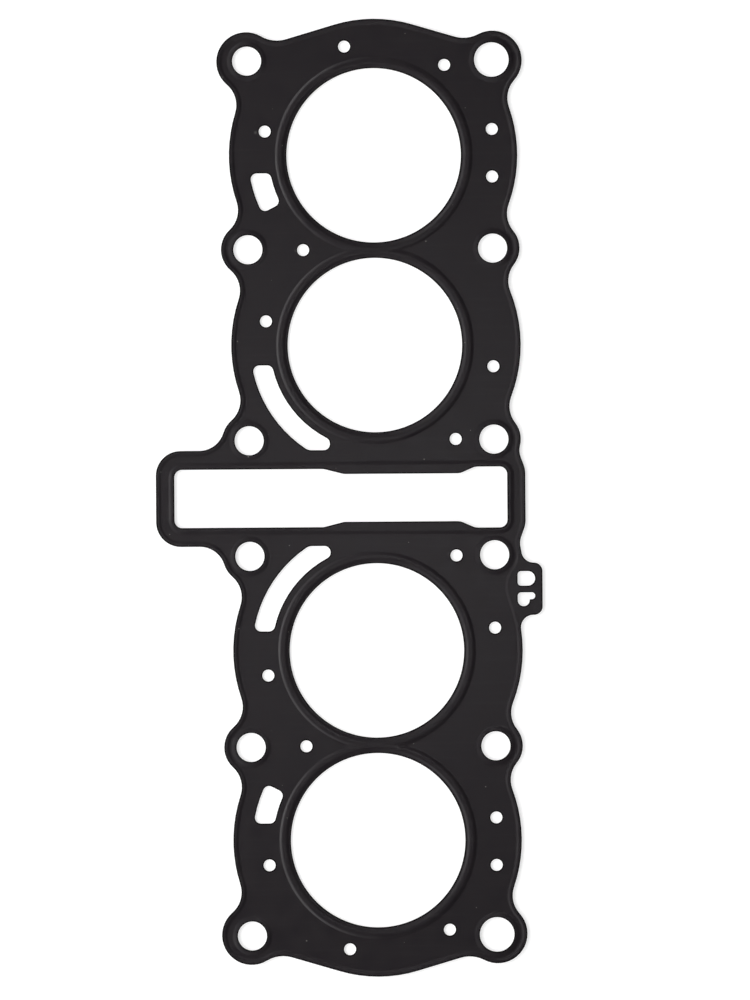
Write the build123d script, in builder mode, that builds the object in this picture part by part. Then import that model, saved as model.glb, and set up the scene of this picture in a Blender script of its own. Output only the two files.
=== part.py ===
from build123d import *
import os
from math import cos, radians, sqrt, tan

# Cylinder head gasket for an in-line four with a central cam chain passage.
#
# One sheet of rubber-coated steel, with a full bead pressed round each cylinder
# and a half bead, a small step up, round each stud hole, round the chain passage
# and along the outer edge.  Millimetres.  The sheet lies in XY with +Z towards
# the cylinder head.  The rims round the stud holes stand on z = 0 and the field
# between them lies a step lower.  The cylinders stand in a line along Y, the
# origin is the centre of the head stud pattern, and the shape is the same on
# both sides of y = 0, apart from the tab.

# Sheet and its half beads
THICKNESS = 0.6
STEP_HEIGHT = 0.25
STEP_WIDTH = 1.2
EDGE_RIM = 0.75
HOLE_RIM = 0.9
PASSAGE_RIM = 1.15
PASSAGE_RIM_SHIFT = 0.1

# Cylinder openings, on a line beside the centre of the stud pattern
BORE_OPENING = 63.5
BORE_WEB = 5.6
CENTRE_GAP = 47.7
BORE_LINE_X = 1.45

# Full bead round each cylinder
BEAD_RIM = 0.8
BEAD_WIDTH = 3.4
BEAD_HEIGHT = 0.35
BEAD_FLANK = 1.2

# Head stud holes, and the holes at the right-hand corners that clear dowels
STUD_SPACING_X = 89.1
MIDDLE_ROW_SHIFT = 0.45
STUD_HOLE = 10.6
DOWEL_HOLE = 12.6

# Outer edge: lobes round the studs, bulges round the cylinders and end walls
LOBE_WALL = 4.5
CORNER_LOBE_OUTWARD = 0.25
CORNER_LOBE_INWARD = 0.3
INNER_SIDE_WALL = 20.95
INNER_BULGE_SHIFT = 0.4
OUTER_SIDE_WALL = 20.75
OUTER_BULGE_SHIFT = -0.2
END_WALL = 17.9
END_SLOPE = 16.5
WAIST_RADIUS = 9.8
END_WAIST_RADIUS = 11.4

# Chain passage, narrower in the middle of its length
PASSAGE_LEFT_REACH = 27.35
PASSAGE_RIGHT_REACH = 4.75
PASSAGE_LEFT_HALF = 10.6
PASSAGE_RIGHT_HALF = 11.1
PASSAGE_MIDDLE_HALF = 8.72
PASSAGE_CORNER_RADIUS = 2.8
MIDDLE_LEFT_X = -10.2
MIDDLE_RIGHT_X = 32.2
LEFT_FLARE_LENGTH = 7.4
RIGHT_FLARE_LENGTH = 5.4
FLARE_RADIUS = 5.0

# Walls round the ends of the chain passage
LEFT_WALL = 6.7
LEFT_SIDE_WALL = 6.85
EAR_CORNER_RADIUS = 9.0
EAR_ROOT_RADIUS = 9.3
RIGHT_WALL = 6.6
RIGHT_WALL_HALF_LENGTH = 10.0
RIGHT_WALL_FALL_LENGTH = 7.0
RIGHT_WALL_FALL_DEPTH = 2.55
RIGHT_WALL_CORNER_RADIUS = 8.5
RIGHT_WALL_ROOT_RADIUS = 7.0

# Coolant slots left of the cylinders, curved about the cylinder axes
SLOT_WALL = 6.4
SLOT_WIDTH = 7.2
SLOT_CORNER_RADIUS = 2.2
LONG_SLOT_HEEL_RADIUS = 4.0
LONG_SLOT_TOP_DROP = 7.15
LONG_SLOT_END_REACH = 16.65
LONG_SLOT_END_HEIGHT = 3.83
SHORT_SLOT_WIDTH = 7.5
SHORT_SLOT_TOP_DROP = 6.3
SHORT_SLOT_ANGLE = 27.1

# Coolant and oil holes, each as an offset from the axis of its cylinder
SMALL_HOLE = 4.4
LEFT_HOLE = (-39.6, 8.9)
RIGHT_HOLE = (43.1, -8.0)
WEB_HOLE = (-25.9, 34.75)
CENTRE_HOLE = (29.2, -34.4)
UPPER_RIGHT_HOLE = (43.1, 9.3)
END_RIGHT_HOLE = (25.9, 32.75)
END_LEFT_HOLE = (-10.5, 39.65)

# Tab below the chain passage on the right, with two punched openings
TAB_REACH = 17.35
TAB_DROP = 2.95
TAB_LENGTH = 19.0
TAB_CORNER_RADIUS = 3.1
TAB_ROOT_RADIUS = 4.5
OPENING_MARGIN = 2.67
OPENING_LENGTH = 6.38
OPENING_DROP = 3.06
OPENING_GAP = 2.41
OPENING_CORNER_RADIUS = 1.25
ROUND_OPENING_WIDTH = 5.32
OPENING_BAR_WIDTH = 2.55
OPENING_LEG = 5.05
OPENING_LEG_WIDTH = 4.35

# Room past a face for a cut that goes through, and for a slope that joins another solid
OVERRUN = 1.0
RUN_ON = STEP_HEIGHT / 4
SLOPE_RUN_ON = STEP_WIDTH / 4

# Places worked out from the sizes above
BORE_RADIUS = BORE_OPENING / 2
BORE_PITCH = BORE_OPENING + BORE_WEB
INNER_BORE_Y = (CENTRE_GAP + BORE_OPENING) / 2
OUTER_BORE_Y = INNER_BORE_Y + BORE_PITCH
STUD_X = STUD_SPACING_X / 2
INNER_ROW_Y = INNER_BORE_Y - BORE_PITCH / 2
MIDDLE_ROW_Y = INNER_BORE_Y + BORE_PITCH / 2 + MIDDLE_ROW_SHIFT
OUTER_ROW_Y = OUTER_BORE_Y + BORE_PITCH / 2
STUD_LOBE_RADIUS = STUD_HOLE / 2 + LOBE_WALL
CORNER_LOBE_RADIUS = DOWEL_HOLE / 2 + LOBE_WALL
CORNER_LOBE_X = STUD_X + CORNER_LOBE_OUTWARD
CORNER_LOBE_Y = OUTER_ROW_Y - CORNER_LOBE_INWARD
PASSAGE_LEFT_X = -STUD_X - PASSAGE_LEFT_REACH
PASSAGE_RIGHT_X = STUD_X + PASSAGE_RIGHT_REACH
EAR_X = PASSAGE_LEFT_X - LEFT_WALL
EAR_Y = PASSAGE_LEFT_HALF + LEFT_SIDE_WALL
RIGHT_WALL_X = PASSAGE_RIGHT_X + RIGHT_WALL
RIGHT_WALL_ROOT = (RIGHT_WALL_X - RIGHT_WALL_FALL_DEPTH, RIGHT_WALL_HALF_LENGTH + RIGHT_WALL_FALL_LENGTH)
FIELD_Z = -STEP_HEIGHT


def both_halves(points):
    """Give points of the upper half, and the same points on the lower half."""
    return list(points) + [(x, -y) for x, y in points]


def ring_of(points):
    """Close a line of upper half points with the same points on the lower half."""
    return list(points) + [(x, -y) for x, y in reversed(points)]


def holes_at(bore_y, *offsets):
    """Places of the holes that are set out from one cylinder's axis."""
    return [(BORE_LINE_X + x, bore_y + y) for x, y in offsets]


BORE_CENTRES = both_halves([(BORE_LINE_X, INNER_BORE_Y), (BORE_LINE_X, OUTER_BORE_Y)])
SIDE_STUDS = both_halves([(x, y) for x in (-STUD_X, STUD_X) for y in (INNER_ROW_Y, MIDDLE_ROW_Y)])
CORNER_STUDS = both_halves([(-STUD_X, OUTER_ROW_Y)])
DOWELS = both_halves([(STUD_X, OUTER_ROW_Y)])
SMALL_HOLES = both_halves(
    holes_at(INNER_BORE_Y, LEFT_HOLE, RIGHT_HOLE, WEB_HOLE, CENTRE_HOLE)
    + holes_at(OUTER_BORE_Y, LEFT_HOLE, RIGHT_HOLE, UPPER_RIGHT_HOLE, END_RIGHT_HOLE, END_LEFT_HOLE)
)


def corners_near(sketch, place):
    """Choose the sketch's corners that lie nearest to a place and to its mirror image."""
    return [sketch.vertices().sort_by_distance((x, y, 0))[0] for x, y in both_halves([place])]


def end_walls(half_width):
    """A plate between the sloping end walls, rounded over the end cylinders."""
    crown_y = OUTER_BORE_Y + (BORE_RADIUS + END_WALL) / cos(radians(END_SLOPE))
    side_y = crown_y - half_width * tan(radians(END_SLOPE))
    crown = (BORE_LINE_X, crown_y)
    with BuildSketch() as plate:
        Polygon(*ring_of([(BORE_LINE_X - half_width, side_y), crown, (BORE_LINE_X + half_width, side_y)]),
                align=None)
        fillet(corners_near(plate, crown), BORE_RADIUS + END_WALL)
    return plate.sketch


# Edge of the sheet without the tab
with BuildSketch() as edge:
    with Locations(*both_halves([(BORE_LINE_X + INNER_BULGE_SHIFT, INNER_BORE_Y)])):
        Circle(BORE_RADIUS + INNER_SIDE_WALL)
    with Locations(*both_halves([(BORE_LINE_X + OUTER_BULGE_SHIFT, OUTER_BORE_Y)])):
        Circle(BORE_RADIUS + OUTER_SIDE_WALL)
    add(end_walls(STUD_SPACING_X), mode=Mode.INTERSECT)
    add(end_walls(STUD_X - CORNER_LOBE_RADIUS / 2))
    with Locations(*SIDE_STUDS):
        Circle(STUD_LOBE_RADIUS)
    with Locations(*both_halves([(-CORNER_LOBE_X, CORNER_LOBE_Y), (CORNER_LOBE_X, CORNER_LOBE_Y)])):
        Circle(CORNER_LOBE_RADIUS)
    Polygon(*ring_of([(EAR_X, EAR_Y), (BORE_LINE_X, EAR_Y), RIGHT_WALL_ROOT,
                      (RIGHT_WALL_X, RIGHT_WALL_HALF_LENGTH)]), align=None)
    for waist in ((-STUD_X, INNER_ROW_Y + STUD_LOBE_RADIUS), (-STUD_X, MIDDLE_ROW_Y - STUD_LOBE_RADIUS),
                  (-STUD_X, MIDDLE_ROW_Y + STUD_LOBE_RADIUS), (-STUD_X, OUTER_ROW_Y - CORNER_LOBE_RADIUS),
                  (STUD_X, INNER_ROW_Y + STUD_LOBE_RADIUS), (STUD_X, MIDDLE_ROW_Y - STUD_LOBE_RADIUS),
                  (STUD_X, MIDDLE_ROW_Y + STUD_LOBE_RADIUS), (STUD_X, OUTER_ROW_Y - CORNER_LOBE_RADIUS)):
        fillet(corners_near(edge, waist), WAIST_RADIUS)
    for waist in ((-STUD_X + CORNER_LOBE_RADIUS, OUTER_ROW_Y + CORNER_LOBE_RADIUS),
                  (STUD_X - CORNER_LOBE_RADIUS, OUTER_ROW_Y + CORNER_LOBE_RADIUS)):
        fillet(corners_near(edge, waist), END_WAIST_RADIUS)
    fillet(corners_near(edge, (-STUD_X - STUD_LOBE_RADIUS, EAR_Y)), EAR_ROOT_RADIUS)
    fillet(corners_near(edge, (EAR_X, EAR_Y)), EAR_CORNER_RADIUS)
    fillet(corners_near(edge, RIGHT_WALL_ROOT), RIGHT_WALL_ROOT_RADIUS)
    fillet(corners_near(edge, (RIGHT_WALL_X, RIGHT_WALL_HALF_LENGTH)), RIGHT_WALL_CORNER_RADIUS)

# Chain passage
with BuildSketch() as passage:
    left_bend = (MIDDLE_LEFT_X - LEFT_FLARE_LENGTH, PASSAGE_LEFT_HALF)
    right_bend = (MIDDLE_RIGHT_X + RIGHT_FLARE_LENGTH, PASSAGE_RIGHT_HALF)
    Polygon(*ring_of([(PASSAGE_LEFT_X, PASSAGE_LEFT_HALF), left_bend,
                      (MIDDLE_LEFT_X, PASSAGE_MIDDLE_HALF), (MIDDLE_RIGHT_X, PASSAGE_MIDDLE_HALF),
                      right_bend, (PASSAGE_RIGHT_X, PASSAGE_RIGHT_HALF)]), align=None)
    for bend in (left_bend, (MIDDLE_LEFT_X, PASSAGE_MIDDLE_HALF), (MIDDLE_RIGHT_X, PASSAGE_MIDDLE_HALF),
                 right_bend):
        fillet(corners_near(passage, bend), FLARE_RADIUS)
    for corner in ((PASSAGE_LEFT_X, PASSAGE_LEFT_HALF), (PASSAGE_RIGHT_X, PASSAGE_RIGHT_HALF)):
        fillet(corners_near(passage, corner), PASSAGE_CORNER_RADIUS)


def passage_block(margin):
    """A straight-sided block round the passage, wider than its ends by the margin.

    The rim is pressed a little to the right of the passage, so it is wider there.
    """
    with BuildSketch() as block:
        Polygon(*ring_of([(PASSAGE_LEFT_X + PASSAGE_RIM_SHIFT - margin, PASSAGE_LEFT_HALF + margin),
                          (PASSAGE_RIGHT_X + PASSAGE_RIM_SHIFT + margin, PASSAGE_RIGHT_HALF + margin)]),
                align=None)
        fillet(block.vertices(), PASSAGE_CORNER_RADIUS + margin)
    return block.sketch


def hole_island(hole_radius):
    """The island that the rim of a round hole makes in the field, with its sloping side."""
    top = hole_radius + HOLE_RIM
    with BuildPart() as island:
        with BuildSketch(Plane.XZ):
            Polygon((0, FIELD_Z - RUN_ON), (top + STEP_WIDTH + SLOPE_RUN_ON, FIELD_Z - RUN_ON),
                    (top - SLOPE_RUN_ON, RUN_ON), (top - SLOPE_RUN_ON, THICKNESS),
                    (0, THICKNESS), align=None)
        revolve(axis=Axis.Z)
    return island.part


# Island that the rim of the passage makes in the field
with BuildPart() as passage_island:
    with BuildSketch(Plane.XY.offset(FIELD_Z - OVERRUN)):
        add(passage_block(PASSAGE_RIM + STEP_WIDTH + SLOPE_RUN_ON))
    extrude(amount=OVERRUN + STEP_HEIGHT + RUN_ON)
    crest = passage_island.faces().sort_by(Axis.Z)[-1]
    chamfer(crest.edges(), STEP_WIDTH + 2 * SLOPE_RUN_ON, STEP_HEIGHT + 2 * RUN_ON, reference=crest)
    with BuildSketch():
        add(passage_block(PASSAGE_RIM - SLOPE_RUN_ON))
    extrude(amount=THICKNESS)

# Field of the sheet between the rims, with the slopes of the half beads as its sides
with BuildPart() as field:
    with BuildSketch(Plane.XY.offset(FIELD_Z)):
        add(edge.sketch)
        offset(amount=SLOPE_RUN_ON - EDGE_RIM)
    extrude(amount=STEP_HEIGHT + 2 * RUN_ON)
    floor = field.faces().sort_by(Axis.Z)[0]
    chamfer(floor.edges(), STEP_WIDTH + SLOPE_RUN_ON, STEP_HEIGHT + RUN_ON, reference=floor)
    with Locations(*SIDE_STUDS, *CORNER_STUDS):
        add(hole_island(STUD_HOLE / 2), mode=Mode.SUBTRACT)
    with Locations(*DOWELS):
        add(hole_island(DOWEL_HOLE / 2), mode=Mode.SUBTRACT)
    add(passage_island.part, mode=Mode.SUBTRACT)

# Full bead round a cylinder, a flat crest between two flanks that run on into the sheet
with BuildPart() as bead:
    foot = BORE_RADIUS + BEAD_RIM
    flank_run_on = BEAD_FLANK * RUN_ON / BEAD_HEIGHT
    with BuildSketch(Plane.XZ):
        Polygon((foot - flank_run_on, FIELD_Z - RUN_ON), (foot + BEAD_FLANK, FIELD_Z + BEAD_HEIGHT),
                (foot + BEAD_WIDTH - BEAD_FLANK, FIELD_Z + BEAD_HEIGHT),
                (foot + BEAD_WIDTH + flank_run_on, FIELD_Z - RUN_ON), align=None)
    revolve(axis=Axis.Z)

# The four beads, running into one another where the cylinders stand close
with BuildPart() as beads:
    with Locations(*BORE_CENTRES):
        add(bead.part)

# Coolant slots of one upper cylinder each, drawn about the cylinder's axis
slot_inner = BORE_RADIUS + SLOT_WALL
slot_outer = slot_inner + SLOT_WIDTH
long_slot_foot = -sqrt(slot_inner ** 2 - LONG_SLOT_END_REACH ** 2) - LONG_SLOT_END_HEIGHT
with BuildSketch() as long_slot:
    Circle(slot_outer)
    Circle(slot_inner, mode=Mode.SUBTRACT)
    Polygon((-slot_outer, -LONG_SLOT_TOP_DROP), (-slot_outer, long_slot_foot),
            (-LONG_SLOT_END_REACH, long_slot_foot), (-LONG_SLOT_END_REACH, -LONG_SLOT_TOP_DROP),
            align=None, mode=Mode.INTERSECT)
    heel = long_slot.vertices().sort_by_distance((-slot_outer, -slot_outer, 0))[0]
    ends = [corner for corner in long_slot.vertices() if corner != heel]
    fillet(ends, SLOT_CORNER_RADIUS)
    heel = long_slot.vertices().sort_by_distance(heel)[0]
    fillet(heel, LONG_SLOT_HEEL_RADIUS)
with BuildSketch() as short_slot:
    slope = tan(radians(SHORT_SLOT_ANGLE))
    short_slot_outer = slot_inner + SHORT_SLOT_WIDTH
    Circle(short_slot_outer)
    Circle(slot_inner, mode=Mode.SUBTRACT)
    Polygon((-SHORT_SLOT_TOP_DROP / slope, -SHORT_SLOT_TOP_DROP), (-short_slot_outer, -SHORT_SLOT_TOP_DROP),
            (-short_slot_outer, -short_slot_outer * slope), align=None, mode=Mode.INTERSECT)
    fillet(short_slot.vertices(), SLOT_CORNER_RADIUS)

# Tab, with roots that run into the stud lobe above it and the bulge below it
tab_x = STUD_X + TAB_REACH
tab_y = -INNER_ROW_Y - TAB_DROP
with BuildSketch() as tab:
    with Locations((STUD_X, tab_y)):
        Rectangle(TAB_REACH, TAB_LENGTH, align=(Align.MIN, Align.MAX))
    fillet(tab.vertices().group_by(Axis.X)[-1], TAB_CORNER_RADIUS)
    for round_centre, round_radius, tab_edge_y, root_y in (
            ((STUD_X, -INNER_ROW_Y), STUD_LOBE_RADIUS, tab_y, tab_y + TAB_ROOT_RADIUS),
            ((BORE_LINE_X + INNER_BULGE_SHIFT, -INNER_BORE_Y), BORE_RADIUS + INNER_SIDE_WALL,
             tab_y - TAB_LENGTH, tab_y - TAB_LENGTH - TAB_ROOT_RADIUS)):
        root_x = round_centre[0] + sqrt((round_radius + TAB_ROOT_RADIUS) ** 2
                                        - (root_y - round_centre[1]) ** 2)
        Polygon(round_centre, (root_x, root_y), (root_x, tab_edge_y), (STUD_X, tab_edge_y), align=None)
        with Locations((root_x, root_y)):
            Circle(TAB_ROOT_RADIUS, mode=Mode.SUBTRACT)

# Punched openings in the tab, one round-ended and one with a round-ended leg
opening_x = tab_x - OPENING_MARGIN - OPENING_LENGTH
round_y = tab_y - OPENING_DROP
stepped_y = round_y - ROUND_OPENING_WIDTH - OPENING_GAP
with BuildSketch() as tab_openings:
    for top_y, length, width in ((round_y, OPENING_LENGTH, ROUND_OPENING_WIDTH),
                                 (stepped_y, OPENING_LENGTH, OPENING_BAR_WIDTH)):
        with Locations((opening_x, top_y)):
            Rectangle(length - width / 2, width, align=(Align.MIN, Align.MAX))
        with Locations((opening_x + length - width / 2, top_y - width / 2)):
            Circle(width / 2)
    with Locations((opening_x, stepped_y)):
        Rectangle(OPENING_LEG_WIDTH, OPENING_LEG - OPENING_LEG_WIDTH / 2, align=(Align.MIN, Align.MAX))
    with Locations((opening_x + OPENING_LEG_WIDTH / 2, stepped_y - OPENING_LEG + OPENING_LEG_WIDTH / 2)):
        Circle(OPENING_LEG_WIDTH / 2)
    for corner_y in (round_y, round_y - ROUND_OPENING_WIDTH, stepped_y):
        fillet(tab_openings.vertices().sort_by_distance((opening_x, corner_y, 0))[0], OPENING_CORNER_RADIUS)

# Gasket: rims, the field let into them by a half bead, full beads and all openings
below = Plane.XY.offset(FIELD_Z - OVERRUN)
through = OVERRUN + STEP_HEIGHT + THICKNESS + OVERRUN
with BuildPart() as head_gasket:
    with BuildSketch():
        add(edge.sketch)
        add(tab.sketch)
    extrude(amount=THICKNESS)
    add(field.part)
    add(field.part.moved(Location((0, 0, THICKNESS))), mode=Mode.SUBTRACT)
    add(beads.part.moved(Location((0, 0, THICKNESS))))
    add(beads.part, mode=Mode.SUBTRACT)
    for centres, radius in ((BORE_CENTRES, BORE_RADIUS), (SIDE_STUDS + CORNER_STUDS, STUD_HOLE / 2),
                            (DOWELS, DOWEL_HOLE / 2), (SMALL_HOLES, SMALL_HOLE / 2)):
        with BuildSketch(below):
            with Locations(*centres):
                Circle(radius)
        extrude(amount=through, mode=Mode.SUBTRACT)
    with BuildSketch(below):
        with Locations((BORE_LINE_X, INNER_BORE_Y)):
            add(long_slot.sketch)
        with Locations((BORE_LINE_X, OUTER_BORE_Y)):
            add(short_slot.sketch)
        mirror(about=Plane.XZ)
    extrude(amount=through, mode=Mode.SUBTRACT)
    with BuildSketch(below):
        add(passage.sketch)
        add(tab_openings.sketch)
    extrude(amount=through, mode=Mode.SUBTRACT)

head_gasket.part.label = "head_gasket"
os.makedirs("parts", exist_ok=True)
export_step(head_gasket.part, "parts/head_gasket.step")
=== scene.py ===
from math import ceil, cos, hypot, pi, radians, sin

import bpy
import numpy as np
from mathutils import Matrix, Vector
from mathutils.bvhtree import BVHTree
from mathutils.geometry import delaunay_2d_cdt
from mathutils.kdtree import KDTree


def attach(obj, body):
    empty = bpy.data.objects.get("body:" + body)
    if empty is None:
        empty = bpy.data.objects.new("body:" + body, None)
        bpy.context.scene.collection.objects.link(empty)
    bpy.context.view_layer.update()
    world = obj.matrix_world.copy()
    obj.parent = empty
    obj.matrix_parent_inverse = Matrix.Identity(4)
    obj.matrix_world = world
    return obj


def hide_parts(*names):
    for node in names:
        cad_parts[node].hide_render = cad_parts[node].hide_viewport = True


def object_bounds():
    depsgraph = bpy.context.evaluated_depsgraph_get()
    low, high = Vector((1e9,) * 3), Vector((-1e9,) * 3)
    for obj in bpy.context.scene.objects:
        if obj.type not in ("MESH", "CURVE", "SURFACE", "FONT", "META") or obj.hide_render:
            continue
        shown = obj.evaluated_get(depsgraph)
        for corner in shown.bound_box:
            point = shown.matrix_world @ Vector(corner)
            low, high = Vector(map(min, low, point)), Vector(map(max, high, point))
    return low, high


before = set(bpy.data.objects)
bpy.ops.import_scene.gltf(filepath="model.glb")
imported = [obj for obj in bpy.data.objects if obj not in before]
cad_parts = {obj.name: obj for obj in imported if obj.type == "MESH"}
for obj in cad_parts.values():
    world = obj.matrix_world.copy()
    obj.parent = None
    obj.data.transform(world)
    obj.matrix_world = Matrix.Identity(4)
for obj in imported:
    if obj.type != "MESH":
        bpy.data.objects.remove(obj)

cad_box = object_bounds()

# The gasket is one pressed sheet.  Its lines come from the CAD node, and here it
# is drawn again as a finer sheet, with the folds of the press rounded, the sheared
# edges drawn in a little and the round openings as true circles.  The sheet is
# worked out in millimetres and made in metres.
MM = 0.001

# Camera straight above the sheet, in metres and radians, with a lens in millimetres
CAMERA_PLACE = (1.126 * MM, -0.83 * MM, 1.0)
CAMERA_TURN = -0.006717
LENS = 98.85
SENSOR = 36.0
NEAREST_SEEN, FARTHEST_SEEN = 0.01, 50.0

# Soft lamps that face the middle of the sheet: name, place, width and length, and watts
LAMPS = (
    ("left_box", (-1.2, 0.0, 0.6), (0.5, 0.9), 16.0),
    ("left_back_box", (-0.8, 0.95, 0.75), (0.6, 0.6), 7.0),
    ("left_front_box", (-0.8, -0.95, 0.75), (0.6, 0.6), 7.0),
    ("top_box", (0.05, 0.0, 1.05), (0.1, 0.1), 0.55),
)

# Room light: its strength overhead and low down, and the upward part of the direction where each begins
OVERHEAD_LIGHT, LOW_LIGHT = 0.02, 1.3
OVERHEAD_BEGINS, LOW_BEGINS = 0.55, 0.22

# Floor: half its side in metres, its gap below the sheet, its grey and the shine that makes it white
FLOOR_HALF = 4.0
FLOOR_GAP = 0.02 * MM
FLOOR_GREY = 0.5
FLOOR_SHINE = 0.66

# Colours of the coat, of the punched edges, where a dark band is painted shade, and of the bare steel
COAT_DARK = (0.0050, 0.0026, 0.0050)
COAT_PALE = (0.0076, 0.0048, 0.0074)
COAT_BROWN = (0.0096, 0.0058, 0.0068)
COAT_RUBBED = (0.0170, 0.0140, 0.0160)
DUST = (0.16, 0.15, 0.14)
# The pale colour below paints glints (painted highlights) on the rims beside three holes
GLINT_PALE = (0.14, 0.135, 0.13)
# The two edge colours below are painted shade: a near-black band along every punched edge
EDGE_SHADE_DARK = (0.0008, 0.0007, 0.0008)
EDGE_SHADE_PALE = (0.0030, 0.0026, 0.0028)
STEEL_DARK = (0.10, 0.095, 0.09)
STEEL_PALE = (0.36, 0.35, 0.33)

# Roughness of each finish, from its smoothest to its dullest places
COAT_ROUGHNESS = (0.39, 0.46)
EDGE_SHADE_ROUGHNESS = (0.5, 0.7)
STEEL_ROUGHNESS = (0.35, 0.6)
# Low gloss that keeps the painted edge shade dark
EDGE_SHADE_GLOSS = 0.08

# Most that brown patches, rubbed streaks and dust hide the coat below them
MOST_BROWN = 0.35
MOST_RUBBED = 0.25
MOST_DUST = 0.8

# Tooth of the coat and marks of the punch: grains per metre, then strength and depth in metres
COAT_GRAINS = 2600.0
COAT_TOOTH = (0.25, 0.00003)
PUNCH_GRAINS = 4000.0
PUNCH_STRETCH = 14.0
PUNCH_MARKS = (0.4, 0.00004)

# Pressed sheet
THICKNESS = 0.6
STEP_HEIGHT = 0.25
SHEAR_DROOP = 0.05
SHEAR_DROOP_WIDTH = 0.16
SHEAR_LEAN = 0.15
LOWER_EDGE_RISE = 0.015

# Rounding of the press, and the rings of spots that it is averaged over, from the inside out:
# share of the rounding, how many spots, and the weight of each.  A trace is added to the plane
# that is fitted through the spots, so that it can be solved where few of them meet the sheet.
PRESS_ROUNDING = 0.36
ROUNDING_RINGS = ((0.5, 6, 0.8), (1.0, 12, 0.45))
FIT_STEADINESS = 1e-9

# Bead slopes, stud rims and the outer step, which are crowned or steeper than in the CAD
BEAD_ZONE = 4.6
SLOPE_CROWN = 0.55
STUD_RIM_WIDTH = 1.9
STUD_RIM_FLAT = 0.55
STUD_RIM_CROWN = 0.35
PASSAGE_RIM_REACH = 3.0
OUTER_STEP_SHARPNESS = 1.35

# How openings are told apart: off a true circle by at most this, and radii from least to most
ROUND_WITHIN = 0.004
BORE_LEAST, BORE_MOST = 20.0, 40.0
STUD_LEAST, STUD_MOST = 4.5, 7.0

# Small marks beside three holes: pale glints painted as highlights, and a burr; x, y and reach, and how
# strong or how high each is
PAINTED_GLINTS = ((-41.5, 133.2, 0.75, 0.6), (-27.2, 90.1, 0.6, 0.3), (27.8, -20.7, 1.1, 0.08))
BURRS = ((28.5, -21.9, 1.1, 0.15),)
MARK_STEP = 0.3

# How the CAD mesh is read: a face looks up or stands upright by the upward part of its normal
FOLD_ANGLE = radians(4)
LOOKS_UP = 0.5
STANDS_UPRIGHT = 0.3
NO_AREA = 1e-9
NO_LENGTH = 1e-6
KEPT_DECIMALS = 4
ABOVE_ALL = 5.0

# Points of the fine mesh: steps along lines, rows beside them and room between points
OUTLINE_STEP = 0.7
FOLD_STEP = 0.9
FOLD_ROWS = (0.12, -0.12, 0.36, -0.36, 0.6, -0.6)
EDGE_ROWS = (SHEAR_DROOP_WIDTH, 0.42, 0.85)
FIELD_STEP = 3.2
FIELD_ROW_SHARE = 0.866
FIELD_GAP = 1.3
LEAST_GAP = 0.13
ROW_CLEAR_OF_EDGE = 0.8 * SHEAR_DROOP_WIDTH
CLEAR_OF_EDGE = 0.3
SNAP = 1e-7

# Finishes of the sheet's faces, and how near an edge the dark band of painted shade reaches
COAT, PAINTED_EDGE_SHADE, CUT_EDGE = 0, 1, 2
PAINTED_EDGE_SHADE_REACH = 0.36


# Camera, light and floor

def camera_above():
    """The photograph's view: straight down, with the long side of the picture upright."""
    data = bpy.data.cameras.new("camera")
    data.lens = LENS
    data.sensor_fit = "VERTICAL"
    data.sensor_height = SENSOR
    data.clip_start = NEAREST_SEEN
    data.clip_end = FARTHEST_SEEN
    camera = bpy.data.objects.new("camera", data)
    camera.location = CAMERA_PLACE
    camera.rotation_euler = (0.0, 0.0, CAMERA_TURN)
    bpy.context.collection.objects.link(camera)
    bpy.context.scene.camera = camera


def soft_box(name, place, size, power):
    """A rectangular soft lamp that faces the middle of the sheet."""
    data = bpy.data.lights.new(name, "AREA")
    data.shape = "RECTANGLE"
    data.size, data.size_y = size
    data.energy = power
    lamp = bpy.data.objects.new(name, data)
    lamp.location = place
    middle = Vector((0.0, 0.0, 0.0))
    lamp.rotation_euler = (middle - Vector(place)).to_track_quat("-Z", "Y").to_euler()
    bpy.context.collection.objects.link(lamp)


def room_light():
    """Light from the whole room, dim overhead and pale low down on all sides."""
    world = bpy.data.worlds.new("room")
    world.use_nodes = True
    tree = world.node_tree
    background = tree.nodes["Background"]
    direction = add_node(tree, "ShaderNodeTexCoord")
    parts = add_node(tree, "ShaderNodeSeparateXYZ")
    level = add_node(tree, "ShaderNodeMapRange", From_Min=OVERHEAD_BEGINS, From_Max=LOW_BEGINS,
                     To_Min=OVERHEAD_LIGHT, To_Max=LOW_LIGHT)
    level.interpolation_type = "SMOOTHSTEP"
    tree.links.new(direction.outputs["Generated"], parts.inputs[0])
    tree.links.new(parts.outputs["Z"], level.inputs["Value"])
    background.inputs["Color"].default_value = (1.0, 1.0, 1.0, 1.0)
    tree.links.new(level.outputs["Result"], background.inputs["Strength"])
    bpy.context.scene.world = world


def white_paper():
    """Grey paper that shines just enough to look white, and still takes the sheet's shadow."""
    material = bpy.data.materials.new("white_paper")
    material.use_nodes = True
    tree = material.node_tree
    tree.nodes.clear()
    output = add_node(tree, "ShaderNodeOutputMaterial")
    paper = add_node(tree, "ShaderNodeBsdfDiffuse", Color=(FLOOR_GREY, FLOOR_GREY, FLOOR_GREY, 1.0))
    shine = add_node(tree, "ShaderNodeEmission", Color=(1.0, 1.0, 1.0, 1.0))
    both = add_node(tree, "ShaderNodeAddShader")
    rays = add_node(tree, "ShaderNodeLightPath")
    seen = add_math(tree, "MAXIMUM", rays.outputs["Is Camera Ray"], rays.outputs["Is Glossy Ray"])
    seen = add_math(tree, "MAXIMUM", seen, rays.outputs["Is Transmission Ray"])
    tree.links.new(add_math(tree, "MULTIPLY", seen, FLOOR_SHINE), shine.inputs["Strength"])
    tree.links.new(paper.outputs[0], both.inputs[0])
    tree.links.new(shine.outputs[0], both.inputs[1])
    tree.links.new(both.outputs[0], output.inputs["Surface"])
    return material


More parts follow.
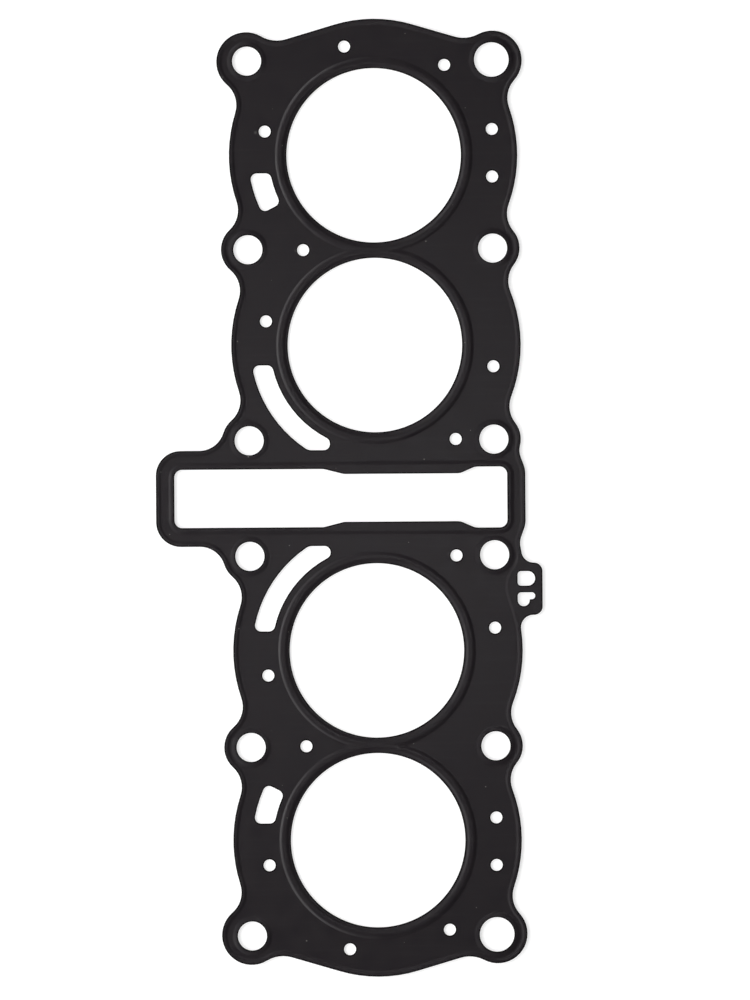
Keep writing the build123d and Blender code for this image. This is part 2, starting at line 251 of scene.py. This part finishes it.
def pale_floor(lowest):
    """A white floor just below the sheet."""
    half = FLOOR_HALF
    corners = [(-half, -half, lowest), (half, -half, lowest), (half, half, lowest), (-half, half, lowest)]
    mesh = bpy.data.meshes.new("floor")
    mesh.from_pydata(corners, [], [(0, 1, 2, 3)])
    mesh.materials.append(white_paper())
    floor = bpy.data.objects.new("floor", mesh)
    bpy.context.collection.objects.link(floor)


# Shader nodes

def add_node(tree, kind, **values):
    """A shader node, with values for its sockets by their names."""
    node = tree.nodes.new(kind)
    for label, value in values.items():
        node.inputs[label.replace("_", " ")].default_value = value
    return node


def add_group(tree, group, **values):
    """A node group put to use, with its own values."""
    node = tree.nodes.new("ShaderNodeGroup")
    node.node_tree = group
    for label, value in values.items():
        node.inputs[label.replace("_", " ")].default_value = value
    return node.outputs[0]


def add_math(tree, operation, first, second):
    """A number worked out from a socket and another socket or plain number."""
    node = tree.nodes.new("ShaderNodeMath")
    node.operation = operation
    tree.links.new(first, node.inputs[0])
    if isinstance(second, float):
        node.inputs[1].default_value = second
    else:
        tree.links.new(second, node.inputs[1])
    return node.outputs[0]


def blend_colour(tree, mask, low, high):
    """A colour that goes with a mask from one, which may be a socket, to another."""
    mix = tree.nodes.new("ShaderNodeMix")
    mix.data_type = "RGBA"
    if isinstance(low, tuple):
        mix.inputs["A"].default_value = (*low, 1.0)
    else:
        tree.links.new(low, mix.inputs["A"])
    mix.inputs["B"].default_value = (*high, 1.0)
    tree.links.new(mask, mix.inputs["Factor"])
    return mix.outputs["Result"]


def range_of(tree, mask, low, high):
    """Carry a mask over to the range from low to high."""
    node = add_node(tree, "ShaderNodeMapRange", To_Min=low, To_Max=high)
    tree.links.new(mask, node.inputs["Value"])
    return node.outputs["Result"]


def bump(tree, height, strength, distance):
    """A normal from a height."""
    node = add_node(tree, "ShaderNodeBump", Strength=strength, Distance=distance)
    tree.links.new(height, node.inputs["Height"])
    return node.outputs["Normal"]


# Effects that the finishes are made of

def group_with(name, inputs, output):
    """An empty node group with number sockets."""
    group = bpy.data.node_groups.new(name, "ShaderNodeTree")
    for label, start in inputs:
        socket = group.interface.new_socket(label, in_out="INPUT", socket_type="NodeSocketFloat")
        socket.default_value = start
    group.interface.new_socket(output, in_out="OUTPUT", socket_type="NodeSocketFloat")
    return group, group.nodes.new("NodeGroupInput"), group.nodes.new("NodeGroupOutput")


def stretched_places(group, axis, stretch):
    """Places on the object, drawn out along one axis."""
    places = add_node(group, "ShaderNodeTexCoord")
    parts = add_node(group, "ShaderNodeSeparateXYZ")
    joined = add_node(group, "ShaderNodeCombineXYZ")
    group.links.new(places.outputs["Object"], parts.inputs[0])
    for label in "XYZ":
        part = parts.outputs[label]
        if label == axis:
            part = add_math(group, "DIVIDE", part, stretch)
        group.links.new(part, joined.inputs[label])
    return joined.outputs[0]


def cloud_group():
    """Soft uneven patches, from 0 to 1."""
    group, given, result = group_with("cloudiness", [("Patches per metre", 20.0)], "Mask")
    places = add_node(group, "ShaderNodeTexCoord")
    noise = add_node(group, "ShaderNodeTexNoise", Detail=4.0, Roughness=0.55)
    spread = add_node(group, "ShaderNodeMapRange", From_Min=0.3, From_Max=0.7)
    group.links.new(places.outputs["Object"], noise.inputs["Vector"])
    group.links.new(given.outputs["Patches per metre"], noise.inputs["Scale"])
    group.links.new(noise.outputs["Fac"], spread.inputs["Value"])
    group.links.new(spread.outputs["Result"], result.inputs["Mask"])
    return group


def grain_group():
    """The fine tooth of a rolled coat or of a sheared edge, from 0 to 1."""
    group, given, result = group_with(
        "fine_grain", [("Grains per metre", 2500.0), ("Upright stretch", 1.0)], "Height")
    noise = add_node(group, "ShaderNodeTexNoise", Detail=3.0, Roughness=0.6)
    places = stretched_places(group, "Z", given.outputs["Upright stretch"])
    group.links.new(places, noise.inputs["Vector"])
    group.links.new(given.outputs["Grains per metre"], noise.inputs["Scale"])
    group.links.new(noise.outputs["Fac"], result.inputs["Height"])
    return group


def speck_group():
    """Small round specks thinly spread over the sheet, each of its own size."""
    group, given, result = group_with(
        "specks", [("Specks per metre", 50.0), ("Largest speck", 0.02)], "Mask")
    places = add_node(group, "ShaderNodeTexCoord")
    cells = add_node(group, "ShaderNodeTexVoronoi")
    cells.voronoi_dimensions = "2D"
    parts = add_node(group, "ShaderNodeSeparateColor")
    group.links.new(places.outputs["Object"], cells.inputs["Vector"])
    group.links.new(given.outputs["Specks per metre"], cells.inputs["Scale"])
    group.links.new(cells.outputs["Color"], parts.inputs["Color"])
    size = add_math(group, "MULTIPLY", parts.outputs["Red"], given.outputs["Largest speck"])
    inside = add_math(group, "LESS_THAN", cells.outputs["Distance"], size)
    group.links.new(inside, result.inputs["Mask"])
    return group


def rub_group():
    """Faint rubbed streaks across the sheet, from 0 to 1."""
    group, given, result = group_with(
        "rubbed_streaks", [("Streaks per metre", 700.0), ("Length of streak", 25.0)], "Mask")
    noise = add_node(group, "ShaderNodeTexNoise", Detail=2.0)
    noise.noise_dimensions = "2D"
    spread = add_node(group, "ShaderNodeMapRange", From_Min=0.56, From_Max=0.8)
    places = stretched_places(group, "X", given.outputs["Length of streak"])
    group.links.new(places, noise.inputs["Vector"])
    group.links.new(given.outputs["Streaks per metre"], noise.inputs["Scale"])
    group.links.new(noise.outputs["Fac"], spread.inputs["Value"])
    group.links.new(spread.outputs["Result"], result.inputs["Mask"])
    return group


# Finishes

def new_finish(name):
    """A material with its node tree and its shader."""
    material = bpy.data.materials.new(name)
    material.use_nodes = True
    return material, material.node_tree, material.node_tree.nodes["Principled BSDF"]


def rubber_coat(clouds, grain, specks, streaks):
    """Thin black rubber coat on spring steel: dull satin, with a fine tooth, dust and rubbed streaks."""
    material, tree, shader = new_finish("coated_steel")
    wide = add_group(tree, clouds, Patches_per_metre=9.0)
    small = add_group(tree, clouds, Patches_per_metre=160.0)
    tooth = add_group(tree, grain, Grains_per_metre=COAT_GRAINS, Upright_stretch=1.0)
    streak = add_group(tree, streaks, Streaks_per_metre=700.0, Length_of_streak=22.0)
    dust = add_group(tree, specks, Specks_per_metre=45.0, Largest_speck=0.013)
    # Pale glints painted beside three holes (painted highlights), read from a mesh attribute
    painted_glint = add_node(tree, "ShaderNodeAttribute")
    painted_glint.attribute_name = "painted_glint"
    colour = blend_colour(tree, wide, COAT_DARK, COAT_PALE)
    colour = blend_colour(tree, range_of(tree, small, 0.0, MOST_BROWN), colour, COAT_BROWN)
    colour = blend_colour(tree, range_of(tree, streak, 0.0, MOST_RUBBED), colour, COAT_RUBBED)
    colour = blend_colour(tree, range_of(tree, dust, 0.0, MOST_DUST), colour, DUST)
    colour = blend_colour(tree, painted_glint.outputs["Fac"], colour, GLINT_PALE)
    tree.links.new(colour, shader.inputs["Base Color"])
    tree.links.new(range_of(tree, small, *COAT_ROUGHNESS), shader.inputs["Roughness"])
    tree.links.new(bump(tree, tooth, *COAT_TOOTH), shader.inputs["Normal"])
    return material


def painted_edge_shade(grain):
    """A near-black, dull band along the punched edges: painted shade."""
    material, tree, shader = new_finish("painted_edge_shade")
    shader.inputs["Specular IOR Level"].default_value = EDGE_SHADE_GLOSS
    tooth = add_group(tree, grain, Grains_per_metre=COAT_GRAINS, Upright_stretch=1.0)
    tree.links.new(blend_colour(tree, tooth, EDGE_SHADE_DARK, EDGE_SHADE_PALE), shader.inputs["Base Color"])
    tree.links.new(range_of(tree, tooth, *EDGE_SHADE_ROUGHNESS), shader.inputs["Roughness"])
    tree.links.new(bump(tree, tooth, *COAT_TOOTH), shader.inputs["Normal"])
    return material


def sheared_steel(clouds, grain):
    """The bare cut edge of the sheet, with upright marks from the punch."""
    material, tree, shader = new_finish("sheared_edge")
    shader.inputs["Metallic"].default_value = 1.0
    marks = add_group(tree, grain, Grains_per_metre=PUNCH_GRAINS, Upright_stretch=PUNCH_STRETCH)
    patches = add_group(tree, clouds, Patches_per_metre=700.0)
    tree.links.new(blend_colour(tree, marks, STEEL_DARK, STEEL_PALE), shader.inputs["Base Color"])
    tree.links.new(range_of(tree, patches, *STEEL_ROUGHNESS), shader.inputs["Roughness"])
    tree.links.new(bump(tree, marks, *PUNCH_MARKS), shader.inputs["Normal"])
    return material


# Outlines

def signed_area(loop):
    """Area of a loop, positive where it runs anticlockwise."""
    ahead = np.roll(loop, -1, axis=0)
    return 0.5 * (loop[:, 0] * ahead[:, 1] - ahead[:, 0] * loop[:, 1]).sum()


def circle_through(loop):
    """Centre and radius of the circle that fits a loop best, and how far the loop is off it."""
    terms = np.column_stack([2 * loop, np.ones(len(loop))])
    x, y, rest = np.linalg.lstsq(terms, (loop ** 2).sum(axis=1), rcond=None)[0]
    radius = (rest + x * x + y * y) ** 0.5
    off = np.abs(np.linalg.norm(loop - (x, y), axis=1) - radius).max()
    return np.array((x, y)), radius, off


def round_openings(loops, least, most):
    """Centre and radius of each round opening whose radius lies between two sizes."""
    circles = [circle_through(loop) for loop in loops]
    return [(centre[0], centre[1], radius) for centre, radius, off in circles
            if off < ROUND_WITHIN and least < radius < most]


def passage_box(loops):
    """Corners of the box round the chain passage and its rim, the largest opening that isn't round."""
    by_size = sorted(loops, key=lambda loop: -abs(signed_area(loop)))
    passage = next(loop for loop in by_size[1:] if circle_through(loop)[2] > ROUND_WITHIN)
    return passage.min(axis=0) - PASSAGE_RIM_REACH, passage.max(axis=0) + PASSAGE_RIM_REACH


def finer_loop(loop):
    """The loop with close points, round openings as true circles."""
    centre, radius, off = circle_through(loop)
    if off < ROUND_WITHIN:
        count = ceil(2 * pi * radius / OUTLINE_STEP)
        turn = np.arange(count) * 2 * pi / count
        return centre + radius * np.column_stack([np.cos(turn), np.sin(turn)])
    fine = []
    for start, end in zip(loop, np.roll(loop, -1, axis=0)):
        count = ceil(np.linalg.norm(end - start) / OUTLINE_STEP)
        fine += [start + (end - start) * i / count for i in range(count)]
    return np.array(fine)


def outlines(loops):
    """Fine loops, the outer one anticlockwise and openings clockwise, so that the sheet is on their left."""
    outer = max(range(len(loops)), key=lambda i: abs(signed_area(loops[i])))
    fine = []
    for number, loop in enumerate(loops):
        loop = finer_loop(loop)
        anticlockwise = signed_area(loop) > 0
        fine.append(loop if anticlockwise == (number == outer) else loop[::-1])
    return fine, outer


def inward(loop):
    """Direction into the sheet at each point of a loop."""
    along = np.roll(loop, -1, axis=0) - np.roll(loop, 1, axis=0)
    along /= np.linalg.norm(along, axis=1)[:, None]
    return np.column_stack([-along[:, 1], along[:, 0]])


# Heights

class Pressing:
    """The CAD sheet in millimetres: its triangles, outlines, folds and heights."""

    def __init__(self, node):
        mesh = node.data
        places = np.empty(len(mesh.vertices) * 3)
        mesh.vertices.foreach_get("co", places)
        places = np.round(places.reshape(-1, 3) / MM, KEPT_DECIMALS)
        self.points, same = np.unique(places, axis=0, return_inverse=True)
        mesh.calc_loop_triangles()
        corners = np.empty(len(mesh.loop_triangles) * 3, dtype=np.int32)
        mesh.loop_triangles.foreach_get("vertices", corners)
        triangles = same.reshape(-1)[corners].reshape(-1, 3)
        a, b, c = (self.points[triangles[:, i]] for i in range(3))
        normals = np.cross(b - a, c - a)
        sizes = np.linalg.norm(normals, axis=1)
        whole = sizes > NO_AREA
        self.triangles = triangles[whole]
        self.normals = normals[whole] / sizes[whole][:, None]
        self.tree = BVHTree.FromPolygons([Vector(p) for p in self.points], self.triangles.tolist())
        self.crest = self.points[:, 2].max()
        self.rim = self.points[:, 2].min() + THICKNESS + STEP_HEIGHT
        self.field = self.rim - STEP_HEIGHT
        self.loops, self.folds = self.lines()
        self.bores = round_openings(self.loops, BORE_LEAST, BORE_MOST)
        self.studs = round_openings(self.loops, STUD_LEAST, STUD_MOST)
        self.passage = passage_box(self.loops)

    def lines(self):
        """The edge of the upper face as closed loops, and the straight bits of its folds."""
        sides = {}
        for number, triangle in enumerate(self.triangles.tolist()):
            for i in range(3):
                pair = (triangle[i - 1], triangle[i])
                sides.setdefault((min(pair), max(pair)), []).append(number)
        rim, folds = {}, []
        for (start, end), around in sides.items():
            if len(around) != 2:
                continue
            low, high = sorted(self.normals[number][2] for number in around)
            if high > LOOKS_UP and abs(low) < STANDS_UPRIGHT:
                rim.setdefault(start, []).append(end)
                rim.setdefault(end, []).append(start)
            elif low > LOOKS_UP and np.dot(*(self.normals[number] for number in around)) < cos(FOLD_ANGLE):
                folds.append((self.points[start][:2], self.points[end][:2]))
        loops = []
        while rim:
            before = next(iter(rim))
            first, place = before, rim[before][0]
            loop = [first]
            while place != first:
                loop.append(place)
                one, other = rim.pop(place)
                before, place = place, other if one == before else one
            rim.pop(first)
            loops.append(self.points[loop][:, :2])
        return loops, folds

    def height(self, x, y):
        """Height of the upper face, or None beside the sheet.

        The straight slopes of the CAD are crowned, steep at the foot and easing into the crest.
        """
        hit = self.tree.ray_cast(Vector((x, y, ABOVE_ALL)), Vector((0.0, 0.0, -1.0)))[0]
        if hit is None:
            return None
        for u, v, reach, high in BURRS:
            if hypot(x - u, y - v) < reach:
                return self.field + high * (1.0 - (hypot(x - u, y - v) / reach) ** 2) ** 2
        for u, v, radius in self.studs:
            from_hole = hypot(x - u, y - v) - radius
            if from_hole < STUD_RIM_WIDTH:
                share = min((STUD_RIM_WIDTH - from_hole) / (STUD_RIM_WIDTH - STUD_RIM_FLAT), 1.0)
                share += STUD_RIM_CROWN * share * (1.0 - share)
                return self.field + (self.rim - self.field) * share
        on_bead = any(hypot(x - u, y - v) < radius + BEAD_ZONE for u, v, radius in self.bores)
        top = self.crest if on_bead else self.rim
        share = min(max((hit.z - self.field) / (top - self.field), 0.0), 1.0)
        low, high = self.passage
        if on_bead:
            share += SLOPE_CROWN * share * (1.0 - share)
        elif not (low[0] < x < high[0] and low[1] < y < high[1]):
            share = min(share * OUTER_STEP_SHARPNESS, 1.0)
        return self.field + (top - self.field) * share

    def rounded(self, places):
        """Heights and slopes of the upper face at many places, averaged over the rounding of the press."""
        spots = [(0.0, 0.0, 1.0)]
        for share, count, weight in ROUNDING_RINGS:
            reach = PRESS_ROUNDING * share
            spots += [(reach * cos(2 * pi * i / count), reach * sin(2 * pi * i / count), weight)
                      for i in range(count)]
        spots = np.array(spots)
        heights = np.full((len(places), len(spots)), np.nan)
        for i, (x, y) in enumerate(places.tolist()):
            for j, (shift_x, shift_y, _) in enumerate(spots.tolist()):
                height = self.height(x + shift_x, y + shift_y)
                if height is not None:
                    heights[i, j] = height
        met = np.isfinite(heights)
        weights = met * spots[:, 2]
        terms = np.column_stack([np.ones(len(spots)), spots[:, 0], spots[:, 1]])
        normal_matrix = np.einsum("ns,sa,sb->nab", weights, terms, terms) + np.eye(3) * FIT_STEADINESS
        right_side = np.einsum("ns,sa->na", weights * np.where(met, heights, 0.0), terms)
        plane = np.linalg.solve(normal_matrix, right_side[:, :, None])[:, :, 0]
        return plane[:, 0], plane[:, 1:]


# Points and triangles

def finder(points):
    """A search tree over points of the sheet."""
    tree = KDTree(len(points))
    for number, (x, y) in enumerate(points):
        tree.insert((x, y, 0.0), number)
    tree.balance()
    return tree


def distance_to(tree, x, y):
    """How far a place is from the nearest point in a search tree."""
    return tree.find((x, y, 0.0))[2]


def cell_and_neighbours(column, row):
    """A cell of a square grid and the eight round it."""
    return [(column + i, row + j) for i in (-1, 0, 1) for j in (-1, 0, 1)]


def spaced(kept, wanted, gap):
    """Add the wanted points that stand a gap clear of all that are kept."""
    cells = {}
    for x, y in kept:
        cells.setdefault((int(x // gap), int(y // gap)), []).append((x, y))
    for x, y in wanted:
        column, row = int(x // gap), int(y // gap)
        near = [place for cell in cell_and_neighbours(column, row) for place in cells.get(cell, ())]
        if all((x - u) ** 2 + (y - v) ** 2 > gap * gap for u, v in near):
            cells.setdefault((column, row), []).append((x, y))
            kept.append((x, y))


def rows_along_edges(loops, edge_tree):
    """Points in rows just inside each edge, the nearest rows first."""
    rows = []
    for depth in EDGE_ROWS:
        for loop in loops:
            rows += (loop + inward(loop) * depth).tolist()
    return [place for place in rows if distance_to(edge_tree, *place) > ROW_CLEAR_OF_EDGE]


def rows_along_folds(folds):
    """Points in rows beside each fold, the nearest rows first."""
    rows = {shift: [] for shift in FOLD_ROWS}
    for start, end in folds:
        along = end - start
        length = np.linalg.norm(along)
        if length < NO_LENGTH:
            continue
        side = np.array((-along[1], along[0])) / length
        count = ceil(length / FOLD_STEP)
        for i in range(count):
            place = start + along * (i + 0.5) / count
            for shift in FOLD_ROWS:
                rows[shift].append(tuple(place + side * shift))
    return [place for shift in FOLD_ROWS for place in rows[shift]]


def points_round_marks():
    """A close grid of points round each painted glint and burr."""
    grid = []
    for u, v, reach, _ in PAINTED_GLINTS + BURRS:
        shifts = np.arange(-reach - MARK_STEP, reach + 2 * MARK_STEP, MARK_STEP).tolist()
        grid += [(u + shift_x, v + shift_y) for shift_x in shifts for shift_y in shifts]
    return grid


def points_of_sheet(pressing, loops, edge_tree):
    """All points of the fine sheet, with those of the outlines first."""
    kept = [tuple(place) for place in np.vstack(loops).tolist()]
    spaced(kept, rows_along_edges(loops, edge_tree), LEAST_GAP)
    inner = [place for place in rows_along_folds(pressing.folds) + points_round_marks()
             if distance_to(edge_tree, *place) > CLEAR_OF_EDGE and pressing.height(*place) is not None]
    spaced(kept, inner, LEAST_GAP)
    tree = finder(kept)
    low, high = pressing.points.min(axis=0), pressing.points.max(axis=0)
    for row, y in enumerate(np.arange(low[1], high[1], FIELD_STEP * FIELD_ROW_SHARE)):
        for x in np.arange(low[0] + (row % 2) * FIELD_STEP / 2, high[0], FIELD_STEP):
            if distance_to(tree, x, y) > FIELD_GAP and pressing.height(x, y) is not None:
                kept.append((float(x), float(y)))
    return np.array(kept)


def triangles_of_sheet(pressing, points, loops, outer):
    """Triangles between the points, left out where the sheet is open, and the points of each outline."""
    rims, owner, start = [], np.full(len(points), -1), 0
    for number, loop in enumerate(loops):
        count = len(loop)
        rims.append(np.arange(start, start + count))
        owner[start:start + count] = number
        start += count
    edges = [(int(i), int(j)) for rim in rims for i, j in zip(rim, np.roll(rim, -1))]
    made = delaunay_2d_cdt([Vector(place) for place in points.tolist()], edges, [], 0, SNAP, False)
    if len(made[0]) != len(points):
        raise ValueError("the outlines of the sheet cross")
    kept = []
    for triangle in made[2]:
        owners = {int(owner[corner]) for corner in triangle}
        if len(owners) == 1 and owners.isdisjoint({-1, outer}):
            continue
        x, y = points[list(triangle)].mean(axis=0)
        if pressing.height(x, y) is not None:
            kept.append(tuple(triangle))
    return kept, rims


# Sheet

def glint_strength(x, y):
    """How strongly a pale glint is painted at a place on the upper face, from 0 to 1."""
    return max(max(0.0, 1.0 - hypot(x - u, y - v) / reach) * depth for u, v, reach, depth in PAINTED_GLINTS)


def both_faces(points, heights, rim_count):
    """Places of the upper face and then of the underside, with their edges drawn in."""
    upper = heights.copy()
    lower = heights - THICKNESS
    upper[:rim_count] -= SHEAR_DROOP
    lower[:rim_count] += LOWER_EDGE_RISE
    return np.vstack([np.column_stack([points, upper]), np.column_stack([points, lower])]) * MM


def normals_of_faces(slopes, outward):
    """Normals of the upper face and of the underside, which lean outward at the edges."""
    up = np.column_stack([-slopes, np.ones(len(slopes))])
    lean = np.zeros((len(slopes), 3))
    lean[:len(outward), :2] = outward * SHEAR_LEAN
    up, down = up + lean, -up + lean / 2
    return up / np.linalg.norm(up, axis=1)[:, None], down / np.linalg.norm(down, axis=1)[:, None]


def coats_of(triangles, points, edge_tree):
    """The finish of each triangle: the dark band of painted shade close to an edge, and the coat elsewhere.
    """
    from_edge = [distance_to(edge_tree, x, y) for x, y in points.tolist()]
    return [PAINTED_EDGE_SHADE if sum(from_edge[corner] for corner in triangle) < 3 * PAINTED_EDGE_SHADE_REACH else COAT
            for triangle in triangles]


def pressed_sheet(node):
    """The fine sheet as a mesh object: upper face, underside and sheared edges."""
    pressing = Pressing(node)
    loops, outer = outlines(pressing.loops)
    edge_tree = finder(np.vstack(loops).tolist())
    points = points_of_sheet(pressing, loops, edge_tree)
    triangles, rims = triangles_of_sheet(pressing, points, loops, outer)
    heights, slopes = pressing.rounded(points)
    count = len(points)
    outward = np.vstack([-inward(loop) for loop in loops])
    up, down = normals_of_faces(slopes, outward)
    sideways = np.column_stack([outward, np.zeros(len(outward))])

    coats = coats_of(triangles, points, edge_tree)
    faces, normals, finishes = [], [], coats + coats
    for a, b, c in triangles:
        faces.append((a, b, c))
        normals += [up[a], up[b], up[c]]
    for a, b, c in triangles:
        faces.append((c + count, b + count, a + count))
        normals += [down[c], down[b], down[a]]
    for rim in rims:
        for i, j in zip(rim.tolist(), np.roll(rim, -1).tolist()):
            faces.append((i + count, j + count, j, i))
            normals += [sideways[i], sideways[j], sideways[j], sideways[i]]
            finishes.append(CUT_EDGE)

    mesh = bpy.data.meshes.new("head_gasket_sheet")
    mesh.from_pydata(both_faces(points, heights, len(outward)).tolist(), [], faces)
    mesh.polygons.foreach_set("use_smooth", [True] * len(faces))
    mesh.polygons.foreach_set("material_index", finishes)
    # How strongly pale glints (painted highlights) are painted at each point; none on the underside
    painted_glint = mesh.attributes.new("painted_glint", "FLOAT", "POINT")
    painted_glint.data.foreach_set("value", [glint_strength(x, y) for x, y in points.tolist()] + [0.0] * count)
    mesh.normals_split_custom_set([tuple(normal) for normal in normals])
    sheet = bpy.data.objects.new("head_gasket_sheet", mesh)
    bpy.context.collection.objects.link(sheet)
    return sheet


camera_above()
room_light()
for lamp in LAMPS:
    soft_box(*lamp)

clouds, grain = cloud_group(), grain_group()
sheet = pressed_sheet(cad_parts["head_gasket"])
sheet.data.materials.append(rubber_coat(clouds, grain, speck_group(), rub_group()))
# Dark band of painted shade along the edges
sheet.data.materials.append(painted_edge_shade(grain))
sheet.data.materials.append(sheared_steel(clouds, grain))
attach(sheet, "root")
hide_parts("head_gasket")
pale_floor(cad_box[0][2] - FLOOR_GAP)

bpy.context.scene.view_settings.view_transform = "Standard"
